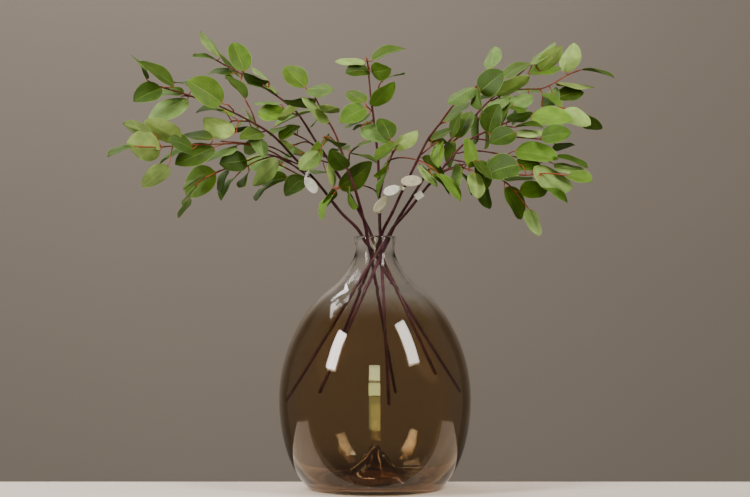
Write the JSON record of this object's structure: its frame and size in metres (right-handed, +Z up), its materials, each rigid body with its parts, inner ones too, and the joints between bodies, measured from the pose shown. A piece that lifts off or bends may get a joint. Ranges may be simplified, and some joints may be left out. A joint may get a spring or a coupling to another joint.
{
  "type": "glass bud vase with stems",
  "caption": "Rounded blown-glass vase with a narrow neck, clear at the top and smoke brown below, holding loose artificial eucalyptus stems with blank tags.",
  "frame": {"origin": "on the vase's axis, in the plane of the ring that it stands on", "axes": "+Z up along the vase's axis, +X to the right and +Y away from a viewer in front"},
  "size_m": [0.7963, 0.3536, 0.7407],
  "materials": {
    "smoked_glass": "clear at the neck, fading to smoke brown from the shoulder down, polished",
    "bark": "satin dark burgundy, red brown on the twigs",
    "leaf": "matte green with paler undersides",
    "paper": "uncoated off-white paper, blank"
  },
  "bodies": {
    "vase": {"vase_glass": "smoked_glass"},
    "stem_1": {"sprig_1_1": "leaf", "sprig_1_10": "leaf", "sprig_1_11": "leaf", "sprig_1_12": "leaf", "sprig_1_2": "leaf", "sprig_1_3": "leaf", "sprig_1_4": "leaf", "sprig_1_5": "leaf", "sprig_1_6": "leaf", "sprig_1_7": "leaf", "sprig_1_8": "leaf", "sprig_1_9": "leaf", "stem_1": "bark", "tag_1": "paper"},
    "stem_2": {"sprig_2_1": "leaf", "sprig_2_2": "leaf", "sprig_2_3": "leaf", "sprig_2_4": "leaf", "stem_2": "bark"},
    "stem_3": {"sprig_3_1": "leaf", "sprig_3_2": "leaf", "sprig_3_3": "leaf", "sprig_3_4": "leaf", "sprig_3_5": "leaf", "sprig_3_6": "leaf", "sprig_3_7": "leaf", "stem_3": "bark"},
    "stem_4": {"sprig_4_1": "leaf", "sprig_4_2": "leaf", "sprig_4_3": "leaf", "sprig_4_4": "leaf", "sprig_4_5": "leaf", "sprig_4_6": "leaf", "sprig_4_7": "leaf", "stem_4": "bark", "tag_4": "paper"},
    "stem_5": {"sprig_5_1": "leaf", "sprig_5_2": "leaf", "sprig_5_3": "leaf", "sprig_5_4": "leaf", "stem_5": "bark", "tag_5": "paper", "tag_5_upper": "paper"},
    "stem_6": {"sprig_6_1": "leaf", "sprig_6_2": "leaf", "sprig_6_3": "leaf", "sprig_6_4": "leaf", "sprig_6_5": "leaf", "sprig_6_6": "leaf", "stem_6": "bark"},
    "stem_7": {"label_7": "paper", "sprig_7_1": "leaf", "sprig_7_2": "leaf", "sprig_7_3": "leaf", "sprig_7_4": "leaf", "sprig_7_5": "leaf", "sprig_7_6": "leaf", "sprig_7_7": "leaf", "stem_7": "bark"}
  },
  "joints": [
    {"name": "stem_1_lift", "type": "slide", "parent": "vase", "child": "stem_1", "axis": [-0.5355, -0.0551, 0.8427], "range_m": [0, 0.305], "deforming": ["sprig_1_1", "sprig_1_10", "sprig_1_11", "sprig_1_12", "sprig_1_2", "sprig_1_3", "sprig_1_4", "sprig_1_5", "sprig_1_6", "sprig_1_7", "sprig_1_8", "sprig_1_9", "tag_1"]},
    {"name": "stem_2_lift", "type": "slide", "parent": "vase", "child": "stem_2", "axis": [-0.1513, -0.5219, 0.8395], "range_m": [0, 0.315], "deforming": ["sprig_2_1", "sprig_2_2", "sprig_2_3", "sprig_2_4"]},
    {"name": "stem_3_lift", "type": "slide", "parent": "vase", "child": "stem_3", "axis": [-0.3649, 0.473, 0.8019], "range_m": [0, 0.28], "deforming": ["sprig_3_1", "sprig_3_2", "sprig_3_3", "sprig_3_4", "sprig_3_5", "sprig_3_6", "sprig_3_7"]},
    {"name": "stem_4_lift", "type": "slide", "parent": "vase", "child": "stem_4", "axis": [-0.0424, 0.5163, 0.8554], "range_m": [0, 0.31], "deforming": ["sprig_4_1", "sprig_4_2", "sprig_4_3", "sprig_4_4", "sprig_4_5", "sprig_4_6", "sprig_4_7", "tag_4"]},
    {"name": "stem_5_lift", "type": "slide", "parent": "vase", "child": "stem_5", "axis": [0.3281, -0.4225, 0.8449], "range_m": [0, 0.3], "deforming": ["sprig_5_1", "sprig_5_2", "sprig_5_3", "sprig_5_4", "tag_5", "tag_5_upper"]},
    {"name": "stem_6_lift", "type": "slide", "parent": "vase", "child": "stem_6", "axis": [0.3734, 0.4018, 0.8361], "range_m": [0, 0.3], "deforming": ["sprig_6_1", "sprig_6_2", "sprig_6_3", "sprig_6_4", "sprig_6_5", "sprig_6_6"]},
    {"name": "stem_7_lift", "type": "slide", "parent": "vase", "child": "stem_7", "axis": [0.5217, 0.0643, 0.8507], "range_m": [0, 0.315], "deforming": ["label_7", "sprig_7_1", "sprig_7_2", "sprig_7_3", "sprig_7_4", "sprig_7_5", "sprig_7_6", "sprig_7_7"]}
  ]
}
